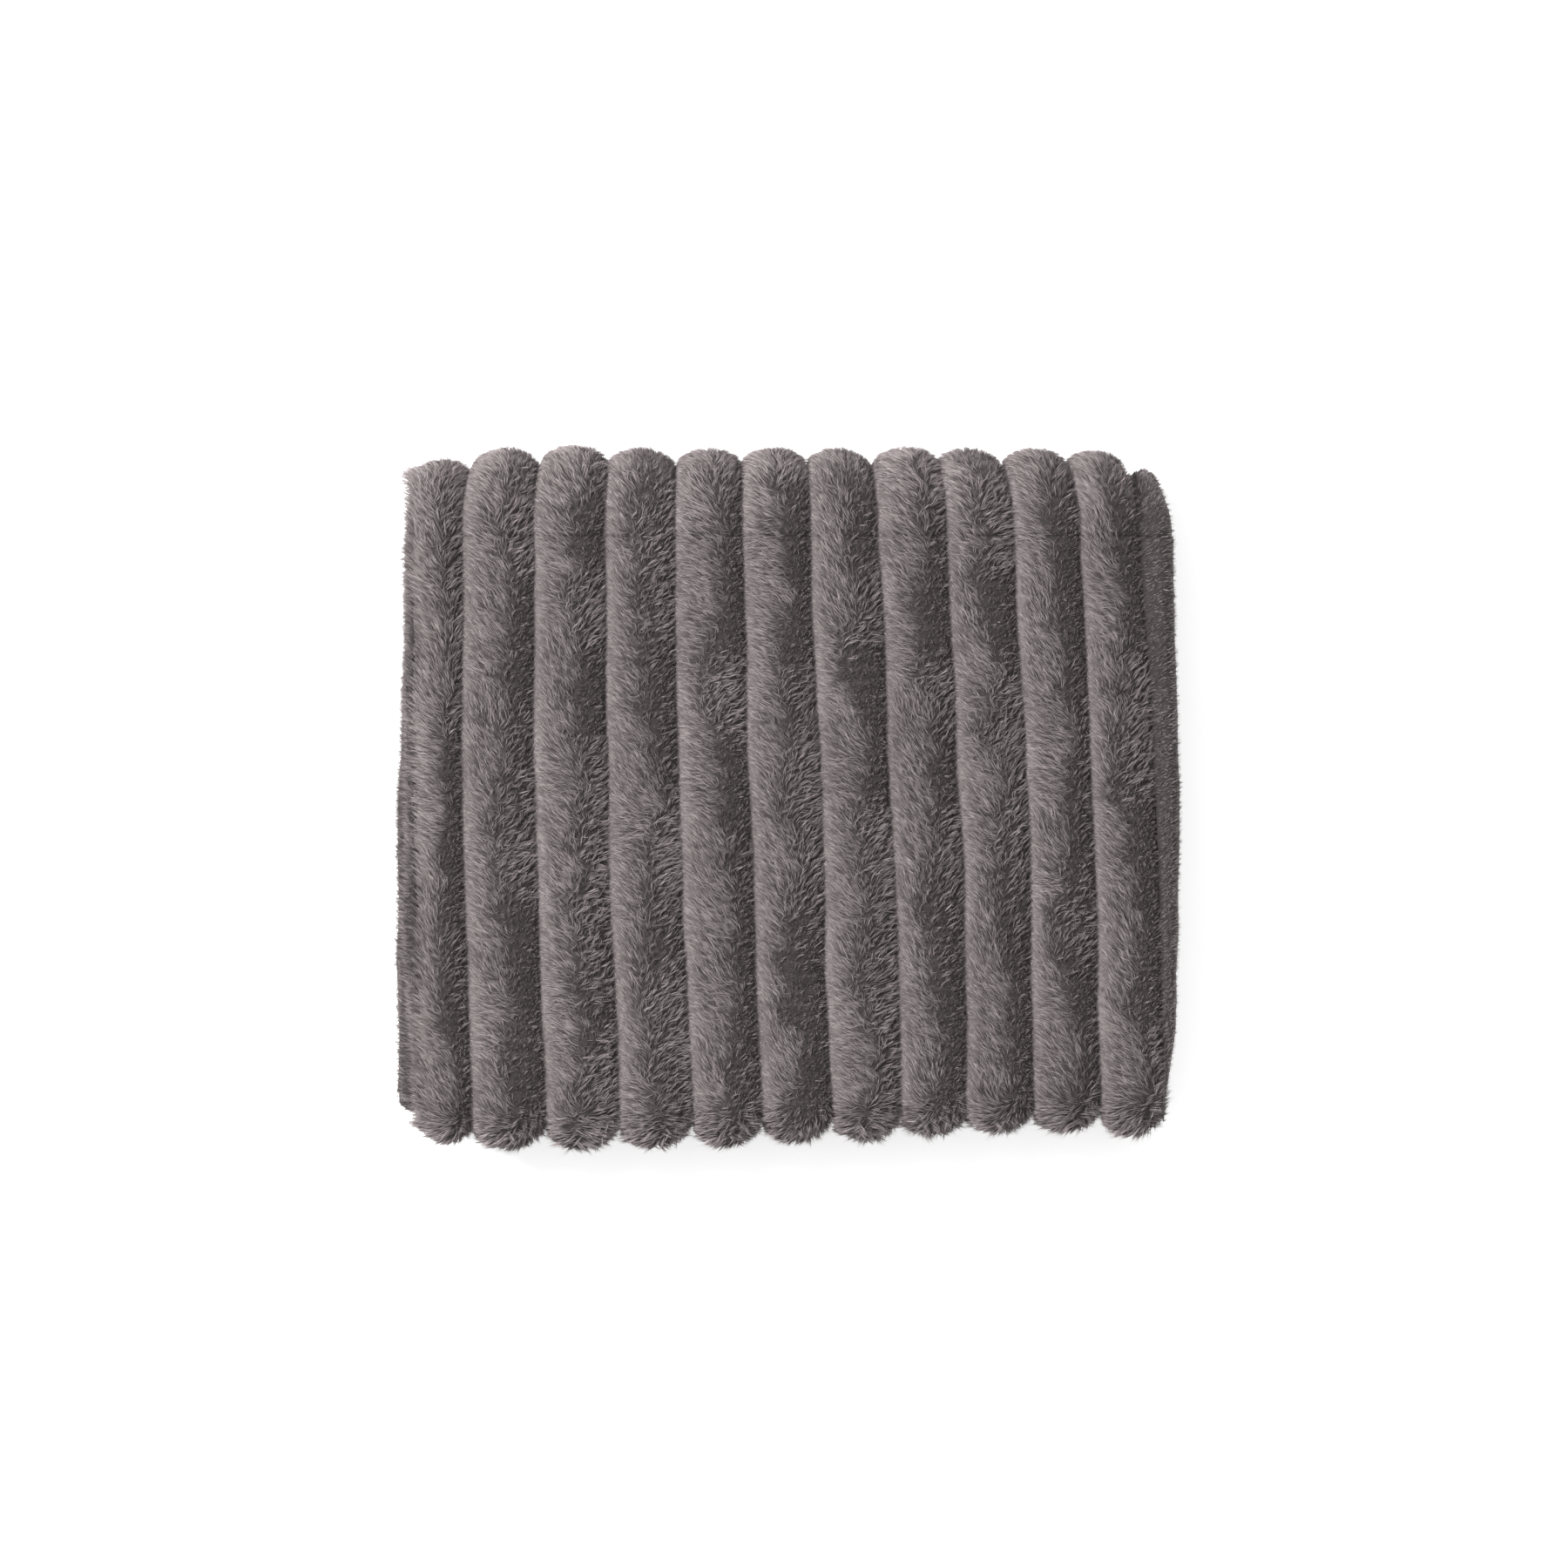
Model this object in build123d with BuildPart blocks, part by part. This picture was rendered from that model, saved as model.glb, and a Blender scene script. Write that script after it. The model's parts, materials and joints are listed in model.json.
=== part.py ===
"""Folded throw blanket of ribbed plush.

The cloth is folded in three across its ribs, like a letter, and then halved twice along
them, so the pack is four quarters high and each quarter is three plies thick.  The upper
half lifts about the back folds.  X runs across the ribs, Y along them towards the back
folds, Z up; the origin is the middle of the bottom of the pack.
"""

from build123d import *
import os

# --- the whole pack, mm ---
pack_height = 104.0
hinge_clearance = 0.3          # between either half and the level of the hinge
hinge_z = pack_height / 2
half_height = hinge_z - hinge_clearance
quarter = half_height / 2
rib_height = 12.0
ply = (quarter - rib_height) / 2

# --- plan of the pack, mm ---
back_fold_y = 150.5            # line that every back fold bends around
front_fold_y = -171.1          # line that the front fold bends around, at the middle of the pack
front_slope = 0.0294           # the front edge runs back towards the right
front_end_y = -185.0           # ends of the two lower quarters, at the middle of the pack
rib_count = 11
middle_valley = 5
rib_gap = 0.3
back_centre, back_pitch, back_crowd = 13.5, 39.3, 0.15
front_centre, front_pitch, front_crowd = 24.5, 39.8, 0.29
left_edge_back, left_edge_front = -214.0, -212.5
left_fold_root = -207.0
left_fold_tip_back, left_fold_tip_front = -217.0, -223.0
right_fold_tip_back, right_fold_tip_front = 222.0, 223.0
side_gap = 0.4
flat_corner = 7.0
pressed_flat = 1.0             # how much of each lower rib the pack's weight takes off
hem_depth = 7.0
hem_thickness = 5.0
side_hem_width = 3.0
right_fold_drop = 2.0

# --- heights of the layers, mm ---
upper_base = hinge_z + hinge_clearance
front_fold_z = upper_base + quarter

front_direction = Vector(1, front_slope, 0).normalized()
front_normal = Vector(front_slope, -1, 0).normalized()

back_plane = Plane(origin=(0, back_fold_y, 0), x_dir=(1, 0, 0), z_dir=(0, -1, 0))
upper_back_plane = back_plane.offset(hinge_clearance)
front_plane = Plane(origin=(0, front_fold_y, 0), x_dir=front_direction, z_dir=front_normal)
end_plane = Plane(origin=(0, front_end_y, 0), x_dir=front_direction, z_dir=front_normal)

back_axis = Axis((0, back_fold_y, hinge_z), (1, 0, 0))
front_axis = Axis((0, front_fold_y, front_fold_z), front_direction)


def valley_x(index, at_front):
    """Where the valley between two ribs meets the back fold or the front edge."""
    centre, pitch, crowd = (
        (front_centre, front_pitch, front_crowd)
        if at_front
        else (back_centre, back_pitch, back_crowd)
    )
    step = index - middle_valley
    return centre + pitch * step - crowd * step**2


def rib_sides(number, at_front):
    """The left and right sides of a rib; rib 1 runs out to the hemmed edge."""
    free_edge = left_edge_front if at_front else left_edge_back
    left = free_edge if number == 1 else valley_x(number - 2, at_front)
    right = valley_x(number - 1, at_front)
    return left + rib_gap / 2, right - rib_gap / 2


def crowned(plane, sides, base, crown):
    """Section of one rib: flat on its backing, an arc on the pile side."""
    left, right = sides
    with BuildSketch(plane) as section:
        with BuildLine():
            arc = ThreePointArc((left, base), ((left + right) / 2, crown), (right, base))
            Line(arc @ 1, arc @ 0)
        make_face()
    return section.sketch


def flattened(plane, sides, low, high):
    """Section of one rib that carries the pack: flat underneath, with rounded shoulders."""
    left, right = sides
    with BuildSketch(plane) as section:
        with Locations(((left + right) / 2, (low + high) / 2)):
            Rectangle(right - left, high - low)
        fillet(section.vertices().group_by(Axis.Y)[0], flat_corner)
    return section.sketch


def slab(plane, left, right, low, high):
    """Section of one or more plies of cloth lying flat."""
    with BuildSketch(plane) as section:
        with Locations(((left + right) / 2, (low + high) / 2)):
            Rectangle(right - left, high - low)
    return section.sketch


def nose(plane, root, tip, low, high):
    """Section of a side fold: flat where it meets the plies, half an ellipse outside."""
    start = -90 if tip > root else 90
    with BuildSketch(plane) as section:
        with BuildLine():
            bend = EllipticalCenterArc(
                (root, (low + high) / 2), abs(tip - root), (high - low) / 2, start, arc_size=180
            )
            Line(bend @ 1, bend @ 0)
        make_face()
    return section.sketch


def ply_sides(at_front):
    """The plies inside end at the left folds and at the roots of the right folds."""
    return left_fold_root + side_gap, valley_x(rib_count - 1, at_front) - side_gap


def right_fold(at_front):
    """Root and tip of the fold that makes the twelfth rib."""
    tip = right_fold_tip_front if at_front else right_fold_tip_back
    return valley_x(rib_count - 1, at_front) + rib_gap / 2, tip


def left_fold(at_front):
    """Root and tip of the fold under the free edge."""
    return left_fold_root, left_fold_tip_front if at_front else left_fold_tip_back


def side_hem(at_front):
    """Root and tip of the hem along the free edge."""
    edge = left_edge_front if at_front else left_edge_back
    return edge - rib_gap / 2, edge - side_hem_width


def finish(built, name):
    """Label a finished piece and write it out."""
    built.part.label = name
    export_step(built.part, f"parts/{name}.step")


def end_hem(low, high):
    """Section of one hemmed end, half round towards the front, at the left side."""
    start = Vector(left_fold_root, front_end_y + front_slope * left_fold_root, 0)
    across = Plane(origin=start, x_dir=-front_normal, z_dir=front_direction)
    return nose(across, -side_gap, -hem_depth, low, high)


os.makedirs("parts", exist_ok=True)

# --- the ribs that show: the top run and the front fold, one piece per rib ---
top_base = pack_height - rib_height
for number in range(1, rib_count + 1):
    with BuildPart() as top_rib:
        behind = crowned(upper_back_plane, rib_sides(number, False), top_base, pack_height)
        before = crowned(front_plane, rib_sides(number, True), top_base, pack_height)
        loft([behind, before])
        revolve(before, axis=front_axis, revolution_arc=180)
    finish(top_rib, f"top_rib_{number:02d}")

# --- the same ribs on the back fold, and on the underside that the pack rests on ---
for number in range(1, rib_count + 1):
    with BuildPart() as back_fold_rib:
        start = crowned(back_plane, rib_sides(number, False), rib_height, 0)
        revolve(start, axis=back_axis, revolution_arc=180)
    finish(back_fold_rib, f"back_fold_rib_{number:02d}")

for number in range(1, rib_count + 1):
    with BuildPart() as bottom_rib:
        behind = flattened(back_plane, rib_sides(number, False), -pressed_flat, rib_height)
        before = flattened(end_plane, rib_sides(number, True), -pressed_flat, rib_height)
        loft([behind, before])
        split(bisect_by=Plane.XY, keep=Keep.TOP)
    finish(bottom_rib, f"bottom_rib_{number:02d}")

# --- the ribs that face each other inside, where the two halves meet ---
with BuildPart() as upper_inner_ribs:
    for number in range(1, rib_count + 1):
        behind = crowned(upper_back_plane, rib_sides(number, False), upper_base + rib_height, upper_base)
        before = crowned(front_plane, rib_sides(number, True), upper_base + rib_height, upper_base)
        loft([behind, before])
finish(upper_inner_ribs, "upper_inner_ribs")

with BuildPart() as lower_inner_ribs:
    for number in range(1, rib_count + 1):
        behind = crowned(back_plane, rib_sides(number, False), half_height - rib_height, half_height)
        before = crowned(end_plane, rib_sides(number, True), half_height - rib_height, half_height)
        loft([behind, before])
finish(lower_inner_ribs, "lower_inner_ribs")

# --- the plies inside the upper half ---
with BuildPart() as upper_outer_ply:
    behind = slab(upper_back_plane, *ply_sides(False), top_base - ply, top_base)
    before = slab(front_plane, *ply_sides(True), top_base - ply, top_base)
    loft([behind, before])
    turn = slab(front_plane, *ply_sides(True), top_base - ply, top_base)
    revolve(turn, axis=front_axis, revolution_arc=180)
finish(upper_outer_ply, "upper_outer_ply")

with BuildPart() as upper_facing_ply:
    behind = slab(upper_back_plane, *ply_sides(False), upper_base + rib_height, front_fold_z - ply)
    before = slab(front_plane, *ply_sides(True), upper_base + rib_height, front_fold_z - ply)
    loft([behind, before])
finish(upper_facing_ply, "upper_facing_ply")

with BuildPart() as upper_middle_plies:
    behind = slab(upper_back_plane, *ply_sides(False), front_fold_z - ply, front_fold_z + ply)
    before = slab(front_plane, *ply_sides(True), front_fold_z - ply, front_fold_z + ply)
    loft([behind, before])
    turn = slab(front_plane, *ply_sides(True), front_fold_z, front_fold_z + ply)
    revolve(turn, axis=front_axis, revolution_arc=180)
finish(upper_middle_plies, "upper_middle_plies")

# --- the plies inside the lower half, one piece each because their ends are free ---
lower_plies = {
    "bottom_outer_ply": rib_height,
    "bottom_inner_ply": rib_height + ply,
    "lower_inner_ply": quarter,
    "lower_facing_ply": quarter + ply,
}
for name, low in lower_plies.items():
    with BuildPart() as lower_ply:
        behind = slab(back_plane, *ply_sides(False), low, low + ply)
        before = slab(end_plane, *ply_sides(True), low, low + ply)
        loft([behind, before])
    finish(lower_ply, name)

# --- the plies inside the back fold ---
back_plies = {
    "back_fold_outer_ply": rib_height,
    "back_fold_second_ply": rib_height + ply,
    "back_fold_third_ply": quarter,
    "back_fold_inner_ply": quarter + ply,
}
for name, low in back_plies.items():
    with BuildPart() as back_ply:
        start = slab(back_plane, *ply_sides(False), low, low + ply)
        revolve(start, axis=back_axis, revolution_arc=180)
    finish(back_ply, name)

with BuildPart() as back_fold_core:
    start = slab(back_plane, *ply_sides(False), half_height - rib_height, half_height)
    revolve(start, axis=back_axis, revolution_arc=180)
finish(back_fold_core, "back_fold_core")

# --- the folds along the right side, which make the twelfth rib ---
with BuildPart() as upper_right_fold:
    for low, high in (
        (front_fold_z + rib_gap, pack_height - right_fold_drop),
        (upper_base + right_fold_drop, front_fold_z - rib_gap),
    ):
        behind = nose(upper_back_plane, *right_fold(False), low, high)
        before = nose(front_plane, *right_fold(True), low, high)
        loft([behind, before])
    turn = nose(front_plane, *right_fold(True), front_fold_z + rib_gap, pack_height - right_fold_drop)
    revolve(turn, axis=front_axis, revolution_arc=180)
finish(upper_right_fold, "upper_right_fold")

right_folds = {
    "bottom_right_fold": (0, quarter - rib_gap),
    "lower_right_fold": (quarter + rib_gap, half_height),
}
for name, (low, high) in right_folds.items():
    with BuildPart() as right_run:
        behind = nose(back_plane, *right_fold(False), low, high)
        before = nose(end_plane, *right_fold(True), low, high)
        loft([behind, before])
    finish(right_run, name)

with BuildPart() as back_right_folds:
    for low, high in right_folds.values():
        start = nose(back_plane, *right_fold(False), low, high)
        revolve(start, axis=back_axis, revolution_arc=180)
finish(back_right_folds, "back_right_folds")

# --- the folds along the left side, which look out from under the free edge ---
with BuildPart() as upper_left_fold:
    for low, high in (
        (front_fold_z + rib_gap, top_base),
        (upper_base + rib_height, front_fold_z - rib_gap),
    ):
        behind = nose(upper_back_plane, *left_fold(False), low, high)
        before = nose(front_plane, *left_fold(True), low, high)
        loft([behind, before])
    turn = nose(front_plane, *left_fold(True), front_fold_z + rib_gap, top_base)
    revolve(turn, axis=front_axis, revolution_arc=180)
finish(upper_left_fold, "upper_left_fold")

left_folds = {
    "bottom_left_fold": (rib_height, quarter - rib_gap),
    "lower_left_fold": (quarter + rib_gap, half_height - rib_height),
}
for name, (low, high) in left_folds.items():
    with BuildPart() as left_run:
        behind = nose(back_plane, *left_fold(False), low, high)
        before = nose(end_plane, *left_fold(True), low, high)
        loft([behind, before])
    finish(left_run, name)

with BuildPart() as back_left_folds:
    for low, high in left_folds.values():
        start = nose(back_plane, *left_fold(False), low, high)
        revolve(start, axis=back_axis, revolution_arc=180)
finish(back_left_folds, "back_left_folds")

# --- the hems along the free edge on the left ---
with BuildPart() as upper_left_hem:
    behind = nose(upper_back_plane, *side_hem(False), top_base, top_base + hem_thickness)
    before = nose(front_plane, *side_hem(True), top_base, top_base + hem_thickness)
    loft([behind, before])
    turn = nose(front_plane, *side_hem(True), top_base, top_base + hem_thickness)
    revolve(turn, axis=front_axis, revolution_arc=180)
finish(upper_left_hem, "upper_left_hem")

with BuildPart() as bottom_left_hem:
    behind = nose(back_plane, *side_hem(False), rib_height - hem_thickness, rib_height)
    before = nose(end_plane, *side_hem(True), rib_height - hem_thickness, rib_height)
    loft([behind, before])
finish(bottom_left_hem, "bottom_left_hem")

with BuildPart() as back_left_hem:
    start = nose(back_plane, *side_hem(False), rib_height - hem_thickness, rib_height)
    revolve(start, axis=back_axis, revolution_arc=180)
finish(back_left_hem, "back_left_hem")

# --- the hemmed ends of the two lower quarters, at the front ---
end_length = valley_x(rib_count - 1, True) - left_fold_root
with BuildPart() as bottom_end_hems:
    for low, high in (
        (rib_height - hem_thickness, rib_height),
        (rib_height, rib_height + ply),
        (rib_height + ply, quarter),
    ):
        extrude(end_hem(low, high), amount=end_length)
finish(bottom_end_hems, "bottom_end_hems")

with BuildPart() as lower_end_hems:
    for low, high in (
        (quarter, quarter + ply),
        (quarter + ply, quarter + 2 * ply),
        (quarter + 2 * ply, quarter + 2 * ply + hem_thickness),
    ):
        extrude(end_hem(low, high), amount=end_length)
finish(lower_end_hems, "lower_end_hems")
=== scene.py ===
"""Folded throw blanket of ribbed plush: pile, side folds, hems and the plies inside."""

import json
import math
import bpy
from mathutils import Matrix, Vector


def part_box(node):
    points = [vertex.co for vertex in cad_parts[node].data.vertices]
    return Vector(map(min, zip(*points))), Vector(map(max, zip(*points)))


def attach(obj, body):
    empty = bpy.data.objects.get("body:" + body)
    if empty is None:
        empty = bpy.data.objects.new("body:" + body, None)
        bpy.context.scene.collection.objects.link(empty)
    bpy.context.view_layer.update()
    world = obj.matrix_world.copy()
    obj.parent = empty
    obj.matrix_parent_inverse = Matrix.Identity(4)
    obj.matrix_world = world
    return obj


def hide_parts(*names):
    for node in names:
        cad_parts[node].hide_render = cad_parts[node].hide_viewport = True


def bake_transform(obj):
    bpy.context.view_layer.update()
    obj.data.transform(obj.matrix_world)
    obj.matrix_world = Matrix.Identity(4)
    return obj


bl_info = {
    "name": "Folded ribbed throw",
    "version": (1, 0, 0),
    "blender": (4, 5, 0),
    "location": "3D View > Sidebar > Throw",
    "description": "Builds the ribs, folds, hems and pile of a folded plush throw",
    "category": "Object",
}

import bpy
import numpy as np
from mathutils import Vector

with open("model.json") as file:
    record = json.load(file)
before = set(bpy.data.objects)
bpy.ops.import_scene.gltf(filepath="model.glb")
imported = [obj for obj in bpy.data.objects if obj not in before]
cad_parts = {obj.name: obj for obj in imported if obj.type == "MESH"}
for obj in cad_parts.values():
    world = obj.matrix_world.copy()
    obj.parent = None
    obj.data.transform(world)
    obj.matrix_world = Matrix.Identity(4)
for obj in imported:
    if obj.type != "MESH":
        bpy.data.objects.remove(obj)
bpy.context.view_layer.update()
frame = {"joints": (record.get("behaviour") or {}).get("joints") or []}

MM = 0.001
RIBS = 11
LOWER, UPPER = "lower_half", "upper_half"
PILE_MAP = "OFBake"
LATTICE = 61  # cells each way before the noise repeats

# --- places taken from the frame ---
hinge = frame["joints"][0]["pos_m"]
BACK_Y, HINGE_Z = hinge[1], hinge[2]
TOP_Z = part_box("top_rib_06")[1][2]
UPPER_LOW_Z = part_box("top_rib_06")[0][2]
LOWER_TOP_Z = 2 * HINGE_Z - UPPER_LOW_Z
QUARTER = LOWER_TOP_Z / 2
FOLD_Z = UPPER_LOW_Z + QUARTER
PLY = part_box("bottom_outer_ply")[1][2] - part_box("bottom_outer_ply")[0][2]
RIB = QUARTER - 2 * PLY
FOLD_REACH = FOLD_Z - UPPER_LOW_Z
SEAM_GAP = 0.3 * MM  # runs stop this far short of the line where the back folds begin


def back_sides(number):
    """Left and right sides of a rib where it meets the back fold."""
    low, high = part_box(f"back_fold_rib_{number:02d}")
    return low[0], high[0]


def front_right(number):
    """Right side of a rib where it meets the front edge."""
    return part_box(f"top_rib_{number:02d}")[1][0]


FREE_EDGE_FRONT = back_sides(1)[0] + 1.5 * MM
# The valleys from left to right, at the front and at the back, the free edge first.
FRONT_X = [FREE_EDGE_FRONT] + [front_right(number) for number in range(1, RIBS + 1)]
BACK_X = [back_sides(1)[0]] + [back_sides(number)[1] for number in range(1, RIBS + 1)]


def crown_line():
    """The front edge as a line: where it is at x = 0, and how it runs back to the right."""
    tips = [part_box(f"top_rib_{number:02d}")[0][1] for number in (2, RIBS)]
    middles = [(FRONT_X[number - 1] + FRONT_X[number]) / 2 for number in (2, RIBS)]
    slope = (tips[1] - tips[0]) / (middles[1] - middles[0])
    return tips[0] - slope * middles[0] + FOLD_REACH, slope


FRONT_Y, FRONT_SLOPE = crown_line()
END_Y = FRONT_Y - 7.5 * MM  # where the free ends of the lower half lie, under the front fold

# How much further than the plain front edge each rib's tip reaches, in mm, and how full each
# rib is round the back folds.
TIP_REACH = (-5.0, 0.5, 2.0, 2.5, 2.5, 2.0, 1.0, 0.0, -0.5, 0.0, 3.5)
BACK_FULLNESS = (0.35, 0.92, 1.08, 0.96, 0.94, 0.96, 0.92, 0.98, 0.96, 0.92, 0.8)

LAST_VALLEY_IN = 3.5 * MM  # how far the last valley is drawn in over the back folds
# How far the free edge runs inside its plain line, in mm, at shares of the way to the front.
FREE_EDGE_AT = (0.0, 0.08, 0.17, 0.24, 0.32, 0.40, 0.60)
FREE_EDGE_IN = (-4.0, -3.0, 2.8, 2.8, 0.5, 1.5, 4.5)

LOCK_LONG, LOCK_WIDE = 2.8 * MM, 1.5 * MM  # the patch of backing whose strands lean together
LOCK_KINDS = 8192  # how many locks are drawn before their numbers are used again
HEM_REACH = 3.2 * MM  # how far the hem of the free edge stands out from its seam
HEM_AROUND = 12 * MM  # length of cloth round a hem
HEM_THICK, HEM_COLUMNS = 5 * MM, 12
END_HEM_REACH = (5.5, 3.5, 6.0)  # how far the hems of the free ends stand out, in mm
SIDE_SHARE = 0.35  # share of the full density on folds between the layers
FACING_SHARE, RESTING_SHARE = 0.15, 0.05  # and on ribs that face each other or the floor
ARCHED_TOP, ARCHED = 1.22, 1.2  # a rib's length of skin over its width, on top and elsewhere

# How strongly each cloth takes the pile's colours and its sheen; the crease is dimmed to painted
# shade deep in the back fold.
CLOTHS = {"Plush pile": 1.0, "Hem plush": 0.95, "Plush backing": 0.8, "Painted crease shade": 0.35}


class ThrowSizes(bpy.types.PropertyGroup):
    """Sizes of the pile"""

    pile_length: bpy.props.FloatProperty(
        name="Pile length", description="Length of a strand of pile", default=6.6 * MM,
        unit="LENGTH",
    )
    pile_width: bpy.props.FloatProperty(
        name="Strand width", description="Width of a strand at its root", default=0.45 * MM,
        unit="LENGTH",
    )
    pile_depth: bpy.props.FloatProperty(
        name="Pile depth", description="How far the pile stands over its backing",
        default=1.6 * MM, unit="LENGTH",
    )
    pile_density: bpy.props.FloatProperty(
        name="Strands per square mm", description="How closely the strands stand on top",
        default=1.1, min=0.05, max=2.0,
    )


class ThrowColours(bpy.types.PropertyGroup):
    """Colours of the pile"""

    # the root colour is painted shade, the dark deep in the pile between the strands
    root: bpy.props.FloatVectorProperty(
        name="Pile root shade", description="Colour deep in the pile", subtype="COLOR",
        default=(0.030, 0.025, 0.025),
    )
    body: bpy.props.FloatVectorProperty(
        name="Pile body", description="Colour of most of the pile", subtype="COLOR",
        default=(0.142, 0.120, 0.121),
    )
    tip: bpy.props.FloatVectorProperty(
        name="Pile tip", description="Colour of the lightest tips", subtype="COLOR",
        default=(0.400, 0.350, 0.352),
    )


# --- noise and small maths ---
def value_noise(seed, x, y, cell):
    """Smooth noise from -1 to 1, the same for the same seed."""
    lattice = np.random.default_rng(seed).uniform(-1, 1, (LATTICE, LATTICE))
    u, v = np.asarray(x) / cell, np.asarray(y) / cell
    i, j = np.floor(u).astype(int), np.floor(v).astype(int)
    a, b = u - i, v - j
    a, b = a * a * (3 - 2 * a), b * b * (3 - 2 * b)
    i0, i1, j0, j1 = i % LATTICE, (i + 1) % LATTICE, j % LATTICE, (j + 1) % LATTICE
    near = lattice[i0, j0] * (1 - a) + lattice[i1, j0] * a
    far = lattice[i0, j1] * (1 - a) + lattice[i1, j1] * a
    return near * (1 - b) + far * b


def ease(x, low, high):
    """From 0 at low to 1 at high, smoothly."""
    t = np.clip((np.asarray(x) - low) / (high - low), 0, 1)
    return t * t * (3 - 2 * t)


def unit(vectors):
    """Vectors made one long."""
    return vectors / np.maximum(np.linalg.norm(vectors, axis=-1, keepdims=True), 1e-12)


# --- paths: where the backing of a run of cloth lies, and which way its pile faces ---
class Path:
    """Stations along a run of cloth: place, outward normal, share of the way to the front and
    how far into a bend at each. ahead is how many of its own lengths it lies before the top
    run of its rib, so that noise carries on from one to the other."""

    def __init__(self, ahead=0.0):
        self.place, self.normal, self.front, self.bend = [], [], [], []
        self.ahead = ahead
        self.crosswise = False

    def run(self, start, end, z, up, front=(0.0, 1.0), step=4 * MM):
        """A straight run at one height from start to end along Y."""
        count = max(2, int(abs(end - start) / step) + 1)
        for t in np.linspace(0, 1, count):
            self.place.append((0, start + (end - start) * t, z))
            self.normal.append((0, 0, up))
            self.front.append(front[0] + (front[1] - front[0]) * t)
            self.bend.append(0.0)
        return self

    def arc(self, y, z, radius, start, end, front, step=9):
        """A bend around a line along X, with angles in degrees from +Y towards +Z."""
        count = max(3, int(abs(end - start) / step) + 1)
        for t in np.linspace(0, 1, count)[1:]:
            angle = math.radians(start + (end - start) * t)
            out = (0, math.cos(angle), math.sin(angle))
            self.place.append((0, y + out[1] * radius, z + out[2] * radius))
            self.normal.append(out)
            self.front.append(front)
            self.bend.append(math.sin(math.pi * t))
        return self

    def across(self, start, end, z, step=6 * MM):
        """A straight run along X that follows the front edge."""
        self.crosswise = True
        count = int(math.dist(start, end) / step) + 1
        for t in np.linspace(0, 1, count):
            x = start[0] + (end[0] - start[0]) * t
            y = start[1] + (end[1] - start[1]) * t
            self.place.append((x, y, z))
            self.normal.append((0, 0, 1))
            self.front.append(t)
            self.bend.append(0.0)
        return self

    def done(self):
        """Turns the lists into arrays and measures the length along the run."""
        self.place = np.array(self.place, float)
        self.normal = np.array(self.normal, float)
        self.front = np.array(self.front, float)
        self.bend = np.array(self.bend, float)
        steps = np.linalg.norm(np.diff(self.place, axis=0), axis=1)
        self.along = np.concatenate([[0], np.cumsum(np.maximum(steps, 1e-6))])
        return self

    def at(self, s):
        """Place, normal, front share and bend at any length along the run."""
        columns = [np.interp(s, self.along, self.place[:, k]) for k in range(3)]
        facing = [np.interp(s, self.along, self.normal[:, k]) for k in range(3)]
        front = np.interp(s, self.along, self.front)
        bend = np.interp(s, self.along, self.bend)
        return np.stack(columns, -1), unit(np.stack(facing, -1)), front, bend

    def whole(self, s):
        """Length along the whole rib, 0 where its top run leaves the back fold."""
        return s - self.ahead * self.along[-1]


def bowed(x, front, bend, at_back):
    """The ribs bow out a little halfway along and draw together over the back folds."""
    spread = x * 0.014 * np.sin(np.pi * front)
    gather = (x + 0.055) * 0.034 * bend**2 * at_back
    return spread - gather


def valley(index, front, bend, y, at_back):
    """Where the valley at the right of rib `index` runs, with its small wander. Index 0 is the
    free edge at the left."""
    x = BACK_X[index] + (FRONT_X[index] - BACK_X[index]) * front
    wander = value_noise(40 + index, y, y * 0 + index, 70 * MM) * 1.1 * MM
    wander += value_noise(70 + index, y, y * 0 + index, 26 * MM) * 0.45 * MM
    loose = {0: 2.4, RIBS: 0.6}.get(index, 1.0)
    drawn_in = LAST_VALLEY_IN * (1 - front) * (index == RIBS)
    drawn_in = drawn_in - np.interp(front, FREE_EDGE_AT, FREE_EDGE_IN) * MM * (index == 0)
    return x - drawn_in + bowed(x, front, bend, at_back * (index > 0)) + wander * loose


class Rib:
    """Section of a rib: w runs from its left valley over the crown to its right valley."""

    folded = False

    def __init__(
        self, number, height, full=1.0, at_back=0.0, pressed=None, tip=0.0, pinch=0.0, seed=0,
        fringe=0.0,
    ):
        self.number, self.height, self.full, self.pinch = number, height, full, pinch
        self.at_back, self.pressed, self.tip, self.seed = at_back, pressed, tip, seed
        self.fringe = fringe

    def point(self, w, s, place, front, bend):
        """Distance along the side direction, and height over the backing."""
        y = place[..., 1] + place[..., 2] * 0.5
        left = valley(self.number - 1, front, bend, y, self.at_back)
        right = valley(self.number, front, bend, y, self.at_back)
        lean = value_noise(self.seed + 7 * self.number, s, s * 0, 48 * MM) * 0.03
        angle = np.pi * w
        v = 0.5 - 0.5 * np.cos(angle) + lean * np.sin(angle)
        swell = 1 + 0.06 * value_noise(self.seed + 3 * self.number, s, w * 0.05, 42 * MM)
        swell += 0.05 * value_noise(self.seed + 5 * self.number, s, w * 0.05, 15 * MM)
        fold = 1 + (self.full - 1) * bend
        arch = np.sin(angle) ** 0.92
        high = self.height * swell * fold * arch + self.tip * bend * arch
        high -= self.pinch * bend * (1 - arch)
        if self.pressed is not None:
            high = np.minimum(high, self.pressed)
        return left + (right - left) * v, high

    def painted_shade(self, w):
        """Painted shade: darker colour towards the valleys, where shade falls between the ribs.
        """
        return np.clip(np.sin(np.pi * w) ** 0.5, 0, 1)


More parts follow.
